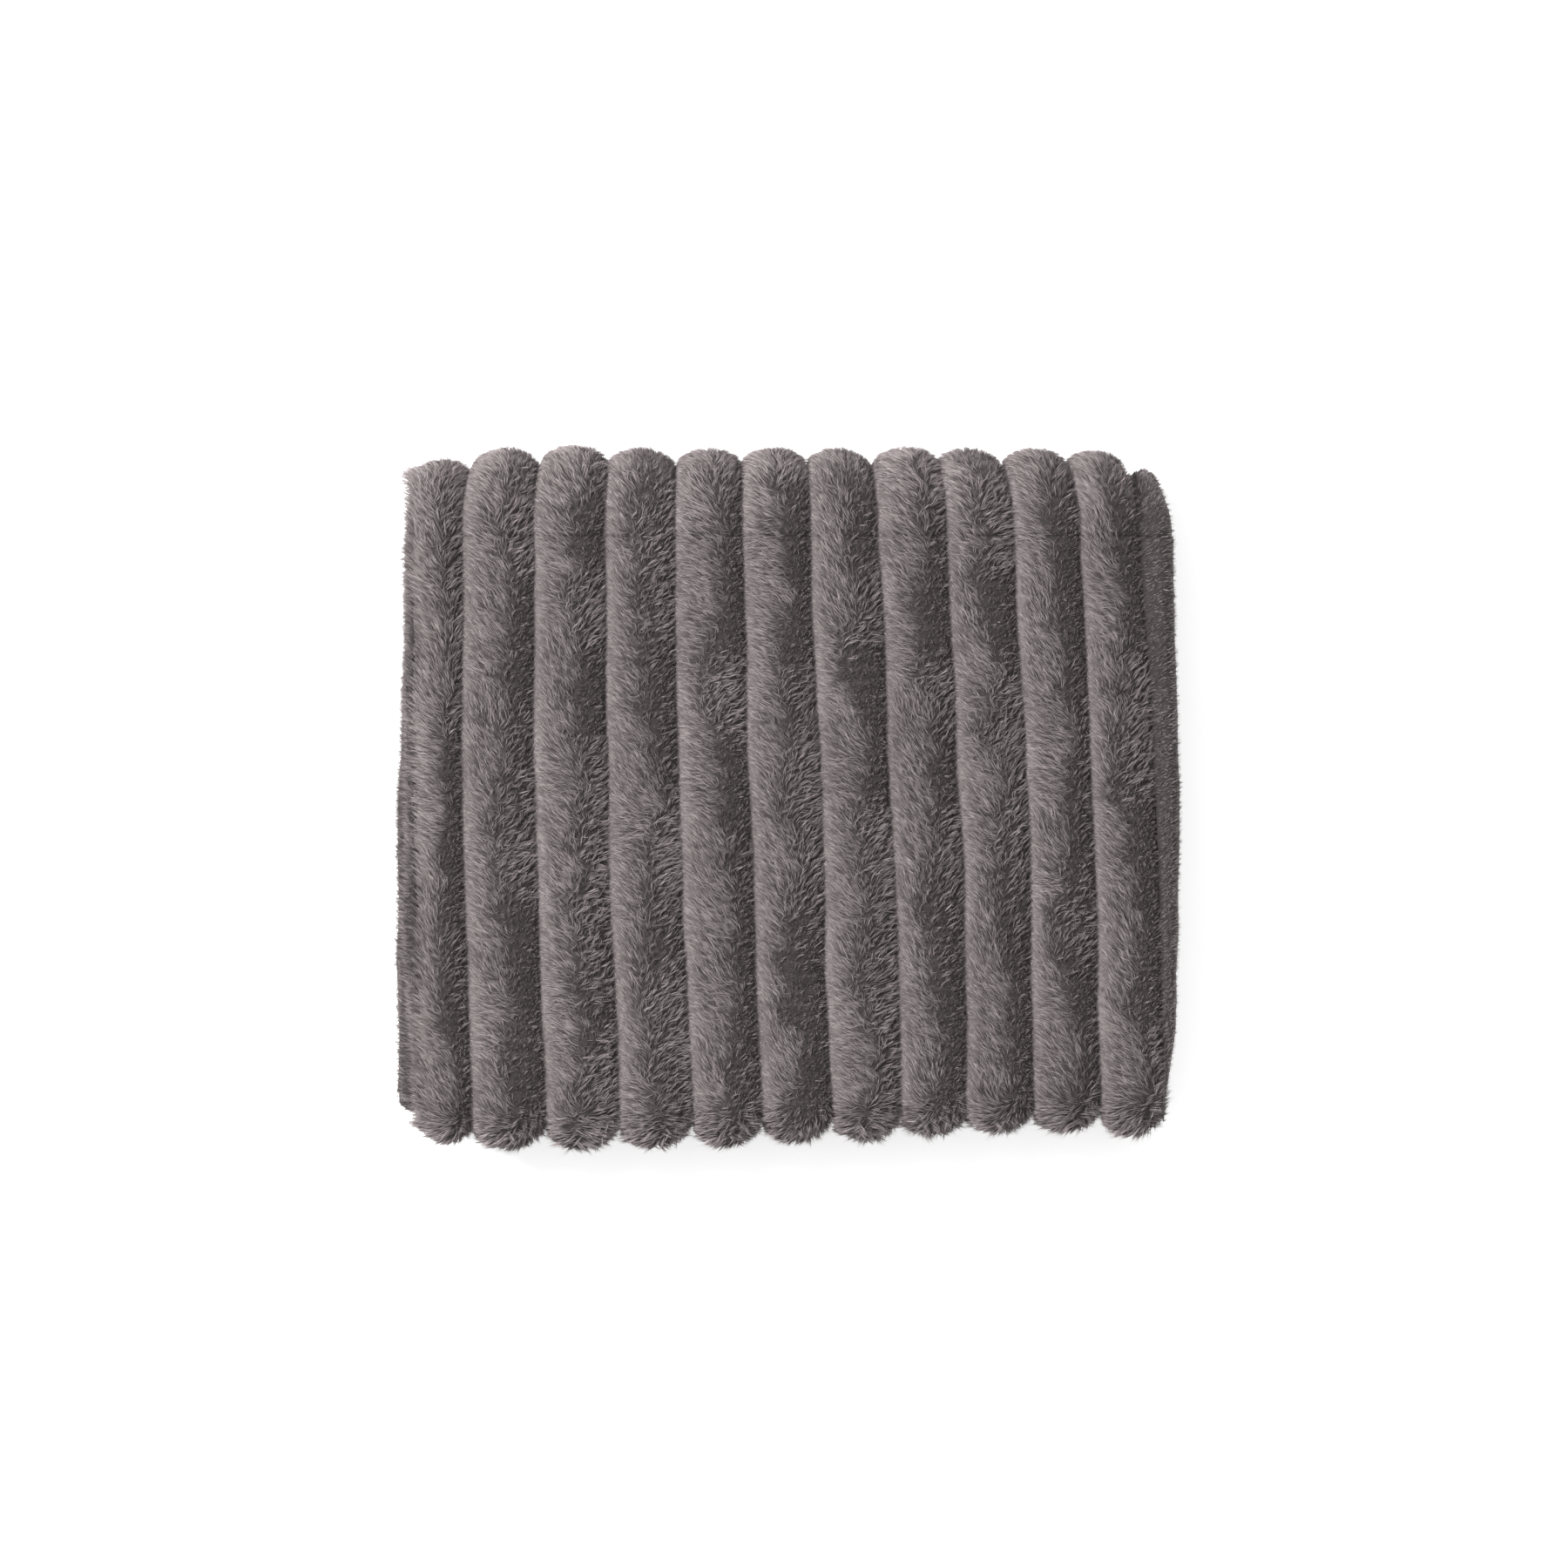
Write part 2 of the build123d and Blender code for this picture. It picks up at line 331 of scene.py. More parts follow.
class Nose:
    """Section of a side fold or hem: half an ellipse, with w from its top round to its foot."""

    folded = True

    # light is painted light added to the whole fold's tone; below zero it is painted shade
    def __init__(
        self, roots, tips, low, high, seed=0, at_back=0.0, wobble=1.2 * MM, squash=0.0, sink=0.0,
        taper=0.0, shoulder=0.0, light=-0.02,
    ):
        self.roots, self.tips, self.low, self.high = roots, tips, low, high
        self.seed, self.at_back, self.wobble, self.light = seed, at_back, wobble, light
        self.squash, self.sink, self.taper, self.shoulder = squash, sink, taper, shoulder

    def point(self, w, s, place, front, bend):
        """Distance along the side direction, and height over the backing."""
        root = self.roots[0] + (self.roots[1] - self.roots[0]) * front
        tip = self.tips[0] + (self.tips[1] - self.tips[0]) * front
        wobble = value_noise(self.seed, s, s * 0, 55 * MM) * self.wobble
        wobble += value_noise(self.seed + 1, s, s * 0, 21 * MM) * self.wobble * 0.4
        reach = (tip - root + np.sign(tip - root) * wobble) * np.sin(np.pi * w) ** 0.8
        if self.taper > 0:
            reach = reach * (0.2 + 0.8 * np.sqrt(np.clip((1 - front) / self.taper, 0, 1)))
        middle, half = (self.low + self.high) / 2, (self.high - self.low) / 2
        x = root + reach
        high = (middle + half * np.cos(np.pi * w)) * (1 - self.squash * bend)
        high -= self.shoulder * (1 - ease(w, 0, 0.24))
        return x + bowed(x, front, bend, self.at_back), high - self.sink * bend

    def painted_shade(self, w):
        """Nearly even colour, with painted shade where the fold leaves the pack."""
        return np.sin(np.pi * w) ** 0.3


class Slab:
    """Section of a ply: a flat band with rounded sides, w once across its pile side."""

    folded = False

    def __init__(self, lefts, rights, thick, seed=0):
        self.lefts, self.rights, self.thick, self.seed = lefts, rights, thick, seed

    def point(self, w, s, place, front, bend):
        """Distance along the side direction, and height over the backing."""
        left = self.lefts[0] + (self.lefts[1] - self.lefts[0]) * front
        right = self.rights[0] + (self.rights[1] - self.rights[0]) * front
        v = 0.5 - 0.5 * np.cos(np.pi * w)
        dip = 0.25 * MM * (1 + value_noise(self.seed, s, (right - left) * v, 30 * MM))
        high = (self.thick - dip) * np.minimum(1, np.sin(np.pi * w) * 9) ** 0.5
        high = high * (1 - 0.55 * bend)
        return left + (right - left) * v, high

    def painted_shade(self, w):
        """Even colour, with no painted shade across it."""
        return w * 0 + 0.7


def surface(path, section, s, w):
    """Points of a piece's outer skin at lengths s and section places w."""
    place, normal, front, bend = path.at(s)
    side, high = section.point(w, path.whole(s), place, front, bend)
    sideways = np.zeros(place.shape)
    if path.crosswise:
        sideways[..., 0], sideways[..., 1] = FRONT_SLOPE, -1.0
    else:
        sideways[..., 0], sideways[..., 1] = 1.0, FRONT_SLOPE * front
    return place + sideways * side[..., None] + normal * high[..., None]


def skin(path, section, columns):
    """The closed skin of a piece: its points, its triangles and where each point lies."""
    rows = len(path.along)
    w = np.linspace(0, 1, columns)
    ss, ww = np.meshgrid(path.along, w, indexing="ij")
    points = surface(path, section, ss, ww).reshape(-1, 3)
    triangles = []
    for row in range(rows - 1):
        for column in range(columns):
            after = (column + 1) % columns
            a, b = row * columns + column, row * columns + after
            c, d = a + columns, b + columns
            triangles += [(a, c, b), (b, c, d)]
    for cap, turn in ((0, False), ((rows - 1) * columns, True)):
        for column in range(1, columns - 1):
            corner = (cap, cap + column, cap + column + 1)
            triangles.append(corner[::-1] if turn else corner)
    return points, np.array(triangles), ss.ravel(), ww.ravel()


def tone_at(length, w, look, painted_shade):
    """How light the pile is: broad patches, small flecks and painted shade in the valleys."""
    broad = value_noise(look + 31, length, w * 40 * MM, 26 * MM)
    small = value_noise(look + 32, length, w * 40 * MM, 9 * MM)
    # the last term is painted shade, darker towards the valleys and where folds leave the pack
    return 0.5 + 0.10 * broad + 0.08 * small + 0.22 * (painted_shade - 0.75)


def combing(length, w, look, section, shift, front, bend):
    """Which way the pile lies at each place, how steeply, how long, how wide, and how much
    painted light and shade it takes.

    On a rib it is combed to the left and back: it lies flat from the crest to the left
    valley, stands on end from the crest to the right valley, and here and there parts at
    the crest. On a fold or a hem it stands outwards. Turn 0 points to the left and a quarter
    turn points back. shift holds three steady random numbers for each lock."""
    place = 2 * w - 1
    slant = 0.78 + 0.55 * value_noise(look + 22, length, w * 25 * MM, 34 * MM)
    slant += 0.30 * value_noise(look + 24, length, w * 25 * MM, 10 * MM) + 0.18 * shift[:, 0]
    if section.folded:
        turn = np.where(w < 0.5, np.pi - 0.5 * slant, 0.5 * slant)
        rise = 0.50 + 0.25 * shift[:, 1]
        stands = np.full(w.shape, 0.3)
        even = np.ones(w.shape)
        return turn, rise, even * 0.75, even * 0.8, even * section.light, stands
    crest = 0.12 + 0.30 * value_noise(look + 21, length, w * 0, 38 * MM)
    crest += 0.16 * value_noise(look + 25, length, w * 0, 9 * MM) + 0.10 * shift[:, 1]
    lies = ease(crest - place, -0.22, 0.16)
    flank = ease(-place, 0.30, 0.75) * (section.number > 1)
    edge = ease(-place, 0.35, 0.85) * (section.number == 1)
    parts = ease(value_noise(look + 23, length, w * 0, 46 * MM) + 0.25 * shift[:, 2], -0.15, 0.45)
    parts = parts * (1 - lies)
    stands = (1 - lies) * (1 - 0.8 * parts)
    slant = slant * (1 - 0.55 * flank)
    turn = slant * (1 - parts) + (np.pi - slant) * parts
    turn = turn + stands * 1.1 * shift[:, 2]
    # the pile hangs over the front fold, with tufts standing off both bends
    hangs = 0.4 * ease(bend, 0.05, 0.7) * section.fringe
    ahead = np.where(turn > np.pi / 2, 1.5 * np.pi, -0.5 * np.pi) + 0.45 * shift[:, 2]
    turn = turn * (1 - hangs) + ahead * hangs
    tuft = ease(shift[:, 0], 0.4, 1.3) * section.fringe + edge
    tuft = np.minimum(tuft, 1) * ease(bend, 0.1, 0.6)
    stands = stands * (1 - 0.6 * hangs)
    rise = 0.32 * tuft + 0.12 + 0.10 * np.abs(shift[:, 1]) + 0.14 * parts + 0.85 * stands
    rise = rise + (0.65 + 0.15 * shift[:, 0]) * edge
    # short and even beside the left valley, shorter and in painted shade down into the right one
    short = ease(-place, 0.38, 0.76) * (section.number > 1)
    standing_shade_patches = ease(value_noise(look + 26, length, w * 20 * MM, 17 * MM), -0.1, 0.5)
    long = (1 - 0.45 * flank) * (1 - 0.45 * stands) * (1 + 0.35 * edge) * (1 - 0.62 * short)
    long = long * (1 + 0.25 * tuft) * (1 - 0.4 * ease(place, 0.72, 0.95))
    wide = (1 - 0.30 * flank) * (1 - 0.12 * stands)
    # painted light where the pile lies flat and on the left flank, which face the light; painted
    # shade, in patches, on pile that stands on end
    light = 0.10 * lies + 0.07 * flank - (0.13 + 0.15 * standing_shade_patches) * stands + 0.05 * parts
    # painted shade down into the right valley
    light = light - 0.25 * ease(place, 0.62, 0.9)
    return turn, rise, long, wide, light, stands


def skin_axes(path, section, s, w):
    """Points of the skin, its directions along, over and out of it, and front and bend there."""
    small, slight = 0.4 * MM, 0.004
    base = surface(path, section, s, w)
    along = unit(surface(path, section, s + small, w) - surface(path, section, s - small, w))
    inside = np.clip(w, slight, 1 - slight)
    over = unit(
        surface(path, section, s, inside + slight) - surface(path, section, s, inside - slight)
    )
    out = unit(np.cross(over, along))
    facing, front, bend = path.at(s)[1:]
    out *= np.where(np.sum(out * facing, -1) < -0.3, -1.0, 1.0)[:, None]
    return base, along, over, out, front, bend


def spikes(left, right, under, tip):
    """Four-sided spikes on three root corners each: their points and their triangles."""
    points = np.stack([left, right, under, tip], 1).reshape(-1, 3)
    first = np.arange(len(tip))[:, None] * 4
    pattern = np.array([(0, 1, 3), (1, 2, 3), (2, 0, 3), (0, 2, 1)])
    return points, (first[:, None, :] + pattern[None]).reshape(-1, 3)


def strands(path, section, count, sizes, look, seed, stretch, length=1.0, width=1.0):
    """Strands of pile over a skin, combed and gathered into locks, with their colour map."""
    rng = np.random.default_rng(seed)
    low, high = stretch
    s = low + (high - low) * (np.arange(count) + rng.random(count)) / count
    # spread evenly over the section's own length
    table = np.linspace(0.002, 0.998, 240)
    middle = np.full(240, (low + high) / 2)
    line = surface(path, section, middle, table)
    reach = np.concatenate([[0], np.cumsum(np.linalg.norm(np.diff(line, axis=0), axis=1))])
    across = rng.random(count) * reach[-1]
    w = np.interp(across, reach, table)
    # the lock each strand belongs to: a slanted cell of the skin
    column = np.floor((across + 0.5 * s) / LOCK_WIDE).astype(int)
    row = np.floor(s / LOCK_LONG + 0.37 * (column % 3)).astype(int)
    key = (row * 7919 + column * 104729) % LOCK_KINDS
    shift = rng.normal(0, 1, (LOCK_KINDS, 3)).clip(-2, 2)[key]
    centre = rng.random((LOCK_KINDS, 2))[key]
    base, along, over, out, front, bend = skin_axes(path, section, s, w)
    turn, rise, share, wide, light, stands = combing(
        path.whole(s), w, look, section, shift, front, bend
    )
    turn, rise = turn + rng.normal(0, 0.12, count), rise + np.abs(rng.normal(0, 0.07, count))
    flow = -over * np.cos(turn)[:, None] - along * np.sin(turn)[:, None]
    ahead = unit(flow * np.cos(rise)[:, None] + out * np.sin(rise)[:, None])
    beside = unit(np.cross(out, ahead))
    roll = rng.normal(0, 0.8, count)
    beside = unit(beside * np.cos(roll)[:, None] + out * np.sin(roll)[:, None])
    long = sizes.pile_length * length * share * rng.uniform(0.65, 1.2, count)
    wide = sizes.pile_width * width * wide * rng.uniform(0.65, 1.25, count)
    root = base + out * (0.1 * MM)
    # strands lean towards the middle of their lock
    mid_s = (row + centre[:, 0] - 0.37 * (column % 3)) * LOCK_LONG
    mid_across = (column + centre[:, 1]) * LOCK_WIDE - 0.5 * s
    lean = along * (mid_s - s)[:, None] + over * (mid_across - across)[:, None]
    tip = root + ahead * long[:, None] + lean * (0.78 - 0.25 * stands)[:, None]
    left = root - beside * (wide / 2)[:, None]
    right = root + beside * (wide / 2)[:, None]
    under = root - out * (0.5 * MM) + ahead * (0.15 * long)[:, None]
    points, triangles = spikes(left, right, under, tip)
    # light carries the painted light and shade from the combing
    tone = tone_at(path.whole(s), w, look, section.painted_shade(w)) + light + 0.07 * shift[:, 0]
    tone += 0.07 * (front - 0.4)
    tone = np.clip(tone + 0.02 + rng.normal(0, 0.34, count), 0.03, 0.96)
    # its map: the tone across, and from root to tip up
    across_map = np.stack([tone - 0.012, tone + 0.012, tone, tone], 1)
    up_map = np.tile((0.10, 0.10, 0.02, 0.98), (count, 1))
    return points, triangles, np.stack([across_map, up_map], -1).reshape(-1, 2)


def build(name, parts, material, smooth_faces):
    """One object from its skin and its strands, none of it under the floor."""
    points, triangles, places, offset = [], [], [], 0
    for part_points, part_triangles, part_places in parts:
        points.append(part_points)
        triangles.append(part_triangles + offset)
        places.append(part_places)
        offset += len(part_points)
    points = np.concatenate(points).astype(np.float32)
    points[:, 2] = np.maximum(points[:, 2], 0.0)
    triangles = np.concatenate(triangles).astype(np.int32)
    places = np.concatenate(places)
    mesh = bpy.data.meshes.new(name)
    mesh.vertices.add(len(points))
    mesh.vertices.foreach_set("co", points.ravel())
    mesh.loops.add(triangles.size)
    mesh.loops.foreach_set("vertex_index", triangles.ravel())
    mesh.polygons.add(len(triangles))
    starts = np.arange(0, triangles.size, 3, dtype=np.int32)
    mesh.polygons.foreach_set("loop_start", starts)
    smooth = np.zeros(len(triangles), bool)
    smooth[:smooth_faces] = True
    mesh.polygons.foreach_set("use_smooth", smooth)
    mesh.update(calc_edges=True)
    layer = mesh.uv_layers.new(name=PILE_MAP)
    layer.uv.foreach_set("vector", places[triangles.ravel()].astype(np.float32).ravel())
    mesh.materials.append(material)
    piece = bpy.data.objects.new(name, mesh)
    bpy.context.scene.collection.objects.link(piece)
    return piece


def soft_piece(name, path, section, material, cover=(), columns=20, look=0, seed=0):
    """A skin with its pile. cover lists stretches of pile: where each starts and ends as a
    share of the run, its number of strands, and how long and wide they are."""
    sizes = bpy.context.scene.throw_sizes
    points, triangles, ss, ww = skin(path, section, columns)
    tone = tone_at(path.whole(ss), ww, look, section.painted_shade(ww)) - 0.05
    rows = len(ww) // columns
    odd_column = np.tile(np.arange(columns) % 2, rows)
    odd_row = np.repeat(np.arange(rows) % 2, columns)
    # painted light: the backing, dark as painted shade elsewhere, is painted lighter beside the
    # left valley, where the pile is too short to hide it and the flank faces the light
    painted_flank_light = 0.30 * ease(0.36 - ww, 0.0, 0.16) * ease(ww, 0.03, 0.10) * (not section.folded)
    places = np.stack(
        [np.clip(tone, 0.05, 0.9) + 0.012 * odd_column, 0.05 + painted_flank_light + 0.07 * odd_row], -1
    )
    parts = [(points, triangles, places)]
    for index, (first, last, number, length, width) in enumerate(cover):
        stretch = (first * path.along[-1], last * path.along[-1])
        parts.append(
            strands(path, section, number, sizes, look, seed + 13 * index, stretch, length, width)
        )
    return build(name, parts, material, len(triangles))


def strand_count(area, share):
    """How many strands an area takes at a share of the full density."""
    density = bpy.context.scene.throw_sizes.pile_density
    return int(area / MM**2 * share * density)


# --- materials ---
def pile_colour_group():
    """Colour of pile from its tone and how far up a strand it is: dark at the root as painted
    shade deep in the pile, lighter up the strand.
    """
    group = bpy.data.node_groups.get("Pile colour")
    if group:
        return group
    group = bpy.data.node_groups.new("Pile colour", "ShaderNodeTree")
    sockets = group.interface
    for label, kind in (
        ("Tone", "NodeSocketFloat"),
        ("Up the strand", "NodeSocketFloat"),
        ("Root", "NodeSocketColor"),
        ("Body", "NodeSocketColor"),
        ("Tip", "NodeSocketColor"),
    ):
        sockets.new_socket(name=label, in_out="INPUT", socket_type=kind)
    sockets.new_socket(name="Colour", in_out="OUTPUT", socket_type="NodeSocketColor")
    nodes, links = group.nodes, group.links
    given = nodes.new("NodeGroupInput")
    result = nodes.new("NodeGroupOutput")
    rise = nodes.new("ShaderNodeMapRange")
    rise.inputs["From Min"].default_value = 0.08
    rise.inputs["From Max"].default_value = 0.72
    links.new(given.outputs["Up the strand"], rise.inputs["Value"])
    # from the root colour, painted shade deep in the pile, to the body colour
    low = nodes.new("ShaderNodeMix")
    low.data_type = "RGBA"
    links.new(rise.outputs["Result"], low.inputs["Factor"])
    links.new(given.outputs["Root"], low.inputs[6])
    links.new(given.outputs["Body"], low.inputs[7])
    light = nodes.new("ShaderNodeMapRange")
    light.inputs["From Min"].default_value = 0.30
    light.inputs["From Max"].default_value = 0.95
    links.new(given.outputs["Tone"], light.inputs["Value"])
    reach = nodes.new("ShaderNodeMath")
    reach.operation = "MULTIPLY"
    links.new(light.outputs["Result"], reach.inputs[0])
    links.new(rise.outputs["Result"], reach.inputs[1])
    high = nodes.new("ShaderNodeMix")
    high.data_type = "RGBA"
    links.new(reach.outputs["Value"], high.inputs["Factor"])
    links.new(low.outputs[2], high.inputs[6])
    links.new(given.outputs["Tip"], high.inputs[7])
    links.new(high.outputs[2], result.inputs["Colour"])
    return group


def pile_material(name):
    """Plush coloured from the piece's own map, with a soft sheen."""
    material = bpy.data.materials.get(name)
    if material:
        return material
    strength = CLOTHS[name]
    colours = bpy.context.scene.throw_colours
    material = bpy.data.materials.new(name)
    material.use_nodes = True
    nodes, links = material.node_tree.nodes, material.node_tree.links
    shader = nodes["Principled BSDF"]
    shader.inputs["Roughness"].default_value = 0.85
    shader.inputs["Specular IOR Level"].default_value = 0.25
    shader.inputs["Sheen Weight"].default_value = 0.35 * strength**2
    shader.inputs["Sheen Roughness"].default_value = 0.45
    shader.inputs["Sheen Tint"].default_value = (0.85, 0.78, 0.75, 1)
    where = nodes.new("ShaderNodeUVMap")
    where.uv_map = PILE_MAP
    split = nodes.new("ShaderNodeSeparateXYZ")
    links.new(where.outputs["UV"], split.inputs["Vector"])
    colour = nodes.new("ShaderNodeGroup")
    colour.node_tree = pile_colour_group()
    links.new(split.outputs["X"], colour.inputs["Tone"])
    links.new(split.outputs["Y"], colour.inputs["Up the strand"])
    for label, value in (("Root", colours.root), ("Body", colours.body), ("Tip", colours.tip)):
        # the crease cloth is dimmed to painted shade here
        dimmed = [channel * strength for channel in value]
        colour.inputs[label].default_value = (*dimmed, 1)
    links.new(colour.outputs["Colour"], shader.inputs["Base Color"])
    return material


# --- the pieces ---
def upper_path(step=7 * MM):
    """From the back folds over the top, round the front fold and back under."""
    path = Path().run(BACK_Y - SEAM_GAP, FRONT_Y, TOP_Z - RIB, 1)
    path.arc(FRONT_Y, FOLD_Z, FOLD_REACH - RIB, 90, 270, 1.0)
    back = BACK_Y - SEAM_GAP
    return path.run(FRONT_Y, back, UPPER_LOW_Z + RIB, -1, (1.0, 0.0), step).done()


def back_path(radius, step=6):
    """Round the back folds, from the bottom run up to the top run."""
    path = Path(ahead=1.0)
    path.place.append((0, BACK_Y, HINGE_Z - radius))
    path.normal.append((0, 0, -1))
    path.front.append(0.0)
    path.bend.append(0.0)
    return path.arc(BACK_Y, HINGE_Z, radius, -90, 90, 0.0, step=step).done()


class THROW_OT_upper_ribs(bpy.types.Operator):
    """Build the ribs of the upper half, over the top and round the front fold"""

    bl_idname = "throw.upper_ribs"
    bl_label = "Upper ribs"

    def execute(self, context):
        for number in range(1, RIBS + 1):
            path = upper_path()
            section = Rib(
                number, RIB - context.scene.throw_sizes.pile_depth,
                tip=TIP_REACH[number - 1] * MM, pinch=(10 if number == 1 else 7) * MM, fringe=1.0,
            )
            whole, depth = path.along[-1], BACK_Y - FRONT_Y
            run = depth / whole
            bend = run + math.pi * (FOLD_REACH - RIB) / whole
            wide = FRONT_X[number] - FRONT_X[number - 1]
            top = strand_count(depth * wide * ARCHED_TOP, 1.0)
            fold = strand_count(math.pi * FOLD_REACH * wide * ARCHED, 0.9)
            under = strand_count(depth * wide * ARCHED, FACING_SHARE)
            cover = [
                (0, run, top, 1.0, 1.0), (run, bend, fold, 1.1, 1.0), (bend, 1, under, 1.3, 2.3)
            ]
            piece = soft_piece(
                f"upper_rib_{number:02d}", path, section, pile_material("Plush pile"), cover,
                look=100 * number, seed=1000 + 31 * number,
            )
            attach(piece, UPPER)
            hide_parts(f"top_rib_{number:02d}", "upper_inner_ribs")
        return {"FINISHED"}


class THROW_OT_back_ribs(bpy.types.Operator):
    """Build the ribs round the back folds"""

    bl_idname = "throw.back_ribs"
    bl_label = "Back ribs"

    def execute(self, context):
        for number in range(1, RIBS + 1):
            path = back_path(HINGE_Z - RIB, step=5)
            section = Rib(
                number, RIB - context.scene.throw_sizes.pile_depth,
                full=BACK_FULLNESS[number - 1], at_back=1.0,
                pinch=(9 if number == 1 else 4) * MM,
            )
            left, right = back_sides(number)
            area = math.pi * HINGE_Z * (right - left) * ARCHED
            cover = [
                (0, 0.4, strand_count(area * 0.4, 0.3), 1.2, 1.8),
                (0.4, 1, strand_count(area * 0.6, 0.8), 1.1, 1.1),
            ]
            piece = soft_piece(
                f"back_rib_{number:02d}", path, section, pile_material("Plush pile"), cover,
                look=100 * number, seed=3000 + 31 * number,
            )
            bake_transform(piece)
            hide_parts(f"back_fold_rib_{number:02d}")
        return {"FINISHED"}


class THROW_OT_lower_ribs(bpy.types.Operator):
    """Build the ribs that the upper half lies on, and those that the pack rests on"""

    bl_idname = "throw.lower_ribs"
    bl_label = "Lower ribs"

    def execute(self, context):
        for number in range(1, RIBS + 1):
            left, right = back_sides(number)
            area = (BACK_Y - END_Y) * (right - left) * ARCHED
            back = BACK_Y - SEAM_GAP
            facing = Path().run(END_Y, back, LOWER_TOP_Z - RIB, 1, (1.0, 0.0), 7 * MM).done()
            section = Rib(number, RIB - context.scene.throw_sizes.pile_depth, seed=700)
            piece = soft_piece(
                f"facing_rib_{number:02d}", facing, section, pile_material("Plush pile"),
                [(0, 1, strand_count(area, FACING_SHARE), 1.3, 2.3)], seed=5000 + 31 * number,
            )
            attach(piece, LOWER)
            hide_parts("lower_inner_ribs")
            resting = Path().run(back, END_Y, RIB, -1, (0.0, 1.0), 9 * MM).done()
            section = Rib(number, RIB + 1.5 * MM, seed=800, pressed=RIB - 0.4 * MM)
            piece = soft_piece(
                f"resting_rib_{number:02d}", resting, section, pile_material("Plush pile"),
                [(0, 1, strand_count(area, RESTING_SHARE), 1.2, 2.0)], seed=6000 + 31 * number,
            )
            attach(piece, LOWER)
            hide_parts(f"bottom_rib_{number:02d}")
        return {"FINISHED"}


def fold_sides(name_back, name_run, right):
    """Roots and tips of a side fold at the back and at the front."""
    root_back = BACK_X[RIBS] - LAST_VALLEY_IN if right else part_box("upper_left_fold")[1][0]
    root_front = FRONT_X[RIBS] if right else root_back
    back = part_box(name_back)[1][0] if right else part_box(name_back)[0][0]
    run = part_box(name_run)[1][0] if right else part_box(name_run)[0][0]
    return (root_back, root_front), (back, run)


class THROW_OT_side_folds(bpy.types.Operator):
    """Build the rounded folds along both sides of the pack"""

    bl_idname = "throw.side_folds"
    bl_label = "Side folds"

    def execute(self, context):
        pile = pile_material("Plush pile")
        for right in (True, False):
            hand = "right" if right else "left"
            roots, tips = fold_sides(f"back_{hand}_folds", f"upper_{hand}_fold", right)
            thick = QUARTER if right else 2 * PLY
            share = 0.9 if right else 0.8
            length = BACK_Y - FRONT_Y
            around = (40 if right else 24) * MM
            levels = (
                ("top", FOLD_Z, 1, UPPER, "upper"), ("under", FOLD_Z, -1, UPPER, "upper"),
                ("facing", QUARTER, 1, LOWER, "lower"), ("resting", QUARTER, -1, LOWER, "bottom"),
            )
            for label, z, up, body, node in levels:
                end = FRONT_Y if body == UPPER else END_Y
                path = Path()
                if up > 0:
                    path.run(BACK_Y - SEAM_GAP, end, z, up)
                    if label == "top":
                        path.arc(FRONT_Y, FOLD_Z, 0.2 * MM, 90, 270, 1.0)
                else:
                    path.run(end, BACK_Y - SEAM_GAP, z, up, (1.0, 0.0))
                path.done()
                drop = 1.2 * MM if right and label == "top" else 0.6 * MM
                shown = label == "top"
                # painted shade on the right fold, away from the window light, and a little
                # painted light on the left one
                section = Nose(
                    roots, tips, 0.3 * MM, thick - drop, 20 + int(z * 1e3) + up,
                    wobble=(1.4 if right else 2.6) * MM, taper=0.10 if right else 0.025,
                    shoulder=6 * MM * (right and shown), light=-0.10 if right else 0.03,
                )
                number = strand_count(length * around, share if shown else SIDE_SHARE)
                long = 0.95 if shown and not right else 0.7
                piece = soft_piece(
                    f"{hand}_fold_{label}", path, section, pile,
                    [(0, 1, number, long, 1.0 if shown else 1.6)],
                    seed=7000 + 17 * int(z * 1e3) + up + 5 * right,
                )
                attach(piece, body)
                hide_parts(f"{node}_{hand}_fold")
            for label, inner in (("outer", QUARTER), ("inner", 0.3 * MM)):
                path = back_path(inner)
                outer = label == "outer"
                low = 0.3 * MM if outer or right else RIB
                high = thick - 1.2 * MM if outer else low + thick - 0.6 * MM
                squash = (0.42 if right else 0.3) * outer
                # painted shade on the right fold's back bend
                section = Nose(
                    roots, (tips[0], tips[0]), low, high, 60 + right, at_back=1.0, squash=squash,
                    shoulder=6 * MM * (right and outer), light=-0.10 * right,
                )
                number = strand_count(math.pi * (inner + high) * around * 0.8, 0.6)
                piece = soft_piece(
                    f"{hand}_fold_back_{label}", path, section, pile,
                    [(0, 1, number, 0.75 if right else 1.0, 1.2)],
                    seed=7600 + 7 * right + len(label),
                )
                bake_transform(piece)
                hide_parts(f"back_{hand}_folds")
        return {"FINISHED"}


def ply_piece(name, path, thick, node, body, cloth="Plush backing"):
    """One ply inside the pack: a sheet that rests on the piece under, or padding without one."""
    lefts = (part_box("bottom_outer_ply")[0][0],) * 2
    rights = (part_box("back_fold_outer_ply")[1][0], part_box("bottom_outer_ply")[1][0])
    section = Slab(lefts, rights, thick, seed=90)
    piece = soft_piece(name, path.done(), section, pile_material(cloth), columns=41)
    if body:
        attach(piece, body)
    else:
        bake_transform(piece)
    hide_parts(node)


